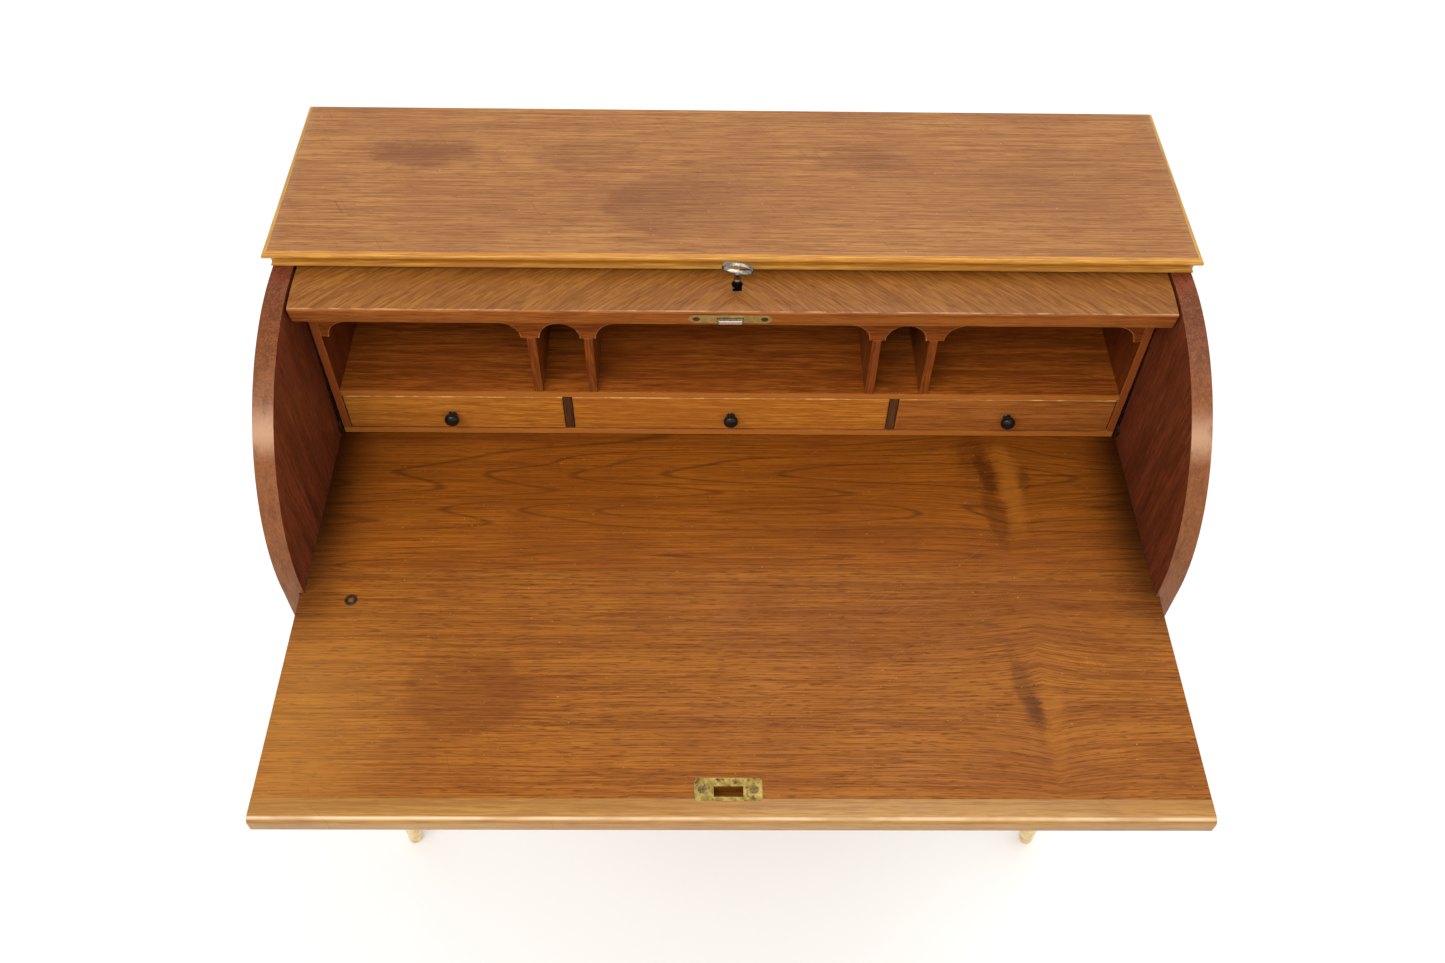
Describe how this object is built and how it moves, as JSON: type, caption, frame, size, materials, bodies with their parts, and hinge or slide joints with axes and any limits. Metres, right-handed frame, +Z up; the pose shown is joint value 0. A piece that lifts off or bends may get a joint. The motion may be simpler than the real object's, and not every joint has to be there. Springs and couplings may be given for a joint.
{
  "type": "roll top desk",
  "caption": "Writing desk with a curved roll lid between quarter-round sides, a pull-out writing board, a pigeonhole unit with small drawers, and splayed legs.",
  "frame": {"origin": "on the floor, in the middle of the desk's width and of its depth with the writing board pulled out", "axes": "+X to the sitter's right, +Y from the sitter towards the back of the desk, +Z up"},
  "size_m": [0.9278, 0.7022, 0.9889],
  "materials": {
    "teak_top": "satin",
    "edge_moulding": "satin",
    "teak_side": "satin",
    "plain_wood": "matt",
    "teak_board": "satin",
    "pale_nosing": "satin",
    "teak_lid": "satin",
    "teak_lipping": "satin",
    "teak_unit": "satin",
    "dark_partition": "satin",
    "teak_drawer": "satin",
    "black_lacquer": "gloss",
    "aged_brass": "tarnished",
    "leg_brass": "polished",
    "dark_metal": "aged",
    "nickel": "polished",
    "steel": "brushed"
  },
  "bodies": {
    "case": {"top_board": "teak_top", "top_moulding_front": "edge_moulding", "top_moulding_left": "edge_moulding", "top_moulding_right": "edge_moulding", "side_panel_left": "teak_side", "side_panel_right": "teak_side", "back_panel": "plain_wood", "bottom_panel": "plain_wood", "front_rail": "teak_side", "lid_stop_blocks": "plain_wood", "lid_pivot_pins": "steel", "unit_base": "teak_unit", "unit_side_left": "teak_unit", "unit_side_right": "teak_unit", "unit_shelf": "teak_unit", "unit_top": "teak_unit", "unit_back": "plain_wood", "arched_valance": "teak_unit", "partition_outer_left": "teak_unit", "partition_inner_left": "teak_unit", "partition_inner_right": "teak_unit", "partition_outer_right": "teak_unit", "drawer_partition_left": "dark_partition", "drawer_partition_right": "dark_partition", "leg_front_left": "teak_side", "leg_front_right": "teak_side", "leg_rear_left": "teak_side", "leg_rear_right": "teak_side", "leg_ferrules": "leg_brass", "leg_plates": "steel", "leg_plate_screws": "steel"},
    "board": {"writing_board": "teak_board", "board_nosing": "pale_nosing", "board_stop_strip": "plain_wood", "strike_plate": "aged_brass", "strike_screws": "aged_brass", "board_eyelet": "dark_metal"},
    "lid": {"roll_lid": "teak_lid", "lid_lipping": "teak_lipping", "lid_arm_left": "steel", "lid_arm_right": "steel", "lid_arm_screws": "steel", "lock_case": "steel", "lock_face_plate": "aged_brass", "lock_face_screws": "aged_brass"},
    "bolt": {"lock_bolt": "steel"},
    "key": {"key": "nickel"},
    "drawer_left": {"drawer_front_left": "teak_drawer", "drawer_box_left": "plain_wood", "drawer_bottom_left": "plain_wood", "drawer_knob_left": "black_lacquer"},
    "drawer_middle": {"drawer_front_middle": "teak_drawer", "drawer_box_middle": "plain_wood", "drawer_bottom_middle": "plain_wood", "drawer_knob_middle": "black_lacquer"},
    "drawer_right": {"drawer_front_right": "teak_drawer", "drawer_box_right": "plain_wood", "drawer_bottom_right": "plain_wood", "drawer_knob_right": "black_lacquer"}
  },
  "joints": [
    {"name": "lid_roll", "type": "hinge", "parent": "case", "child": "lid", "pos_m": [0, 0.1055, 0.7424], "axis": [1, 0, 0], "range_deg": [0, 80.9]},
    {"name": "board_slide", "type": "slide", "parent": "case", "child": "board", "axis": [0, 1, 0], "range_m": [0, 0.224]},
    {"name": "key_turn", "type": "hinge", "parent": "lid", "child": "key", "pos_m": [0.0025, 0.10195, 0.94932], "axis": [0, -0.1908, 0.9816], "range_deg": [0, 90]},
    {"name": "bolt_slide", "type": "slide", "parent": "lid", "child": "bolt", "axis": [0, -0.9816, -0.1908], "range_m": [0, 0.0055]},
    {"name": "drawer_left_slide", "type": "slide", "parent": "case", "child": "drawer_left", "axis": [0, -1, 0], "range_m": [0, 0.13]},
    {"name": "drawer_middle_slide", "type": "slide", "parent": "case", "child": "drawer_middle", "axis": [0, -1, 0], "range_m": [0, 0.13]},
    {"name": "drawer_right_slide", "type": "slide", "parent": "case", "child": "drawer_right", "axis": [0, -1, 0], "range_m": [0, 0.13]}
  ],
  "couplings": [
    {"joint": "key_turn", "follows": "bolt_slide", "rad_per_m": 285.6}
  ]
}
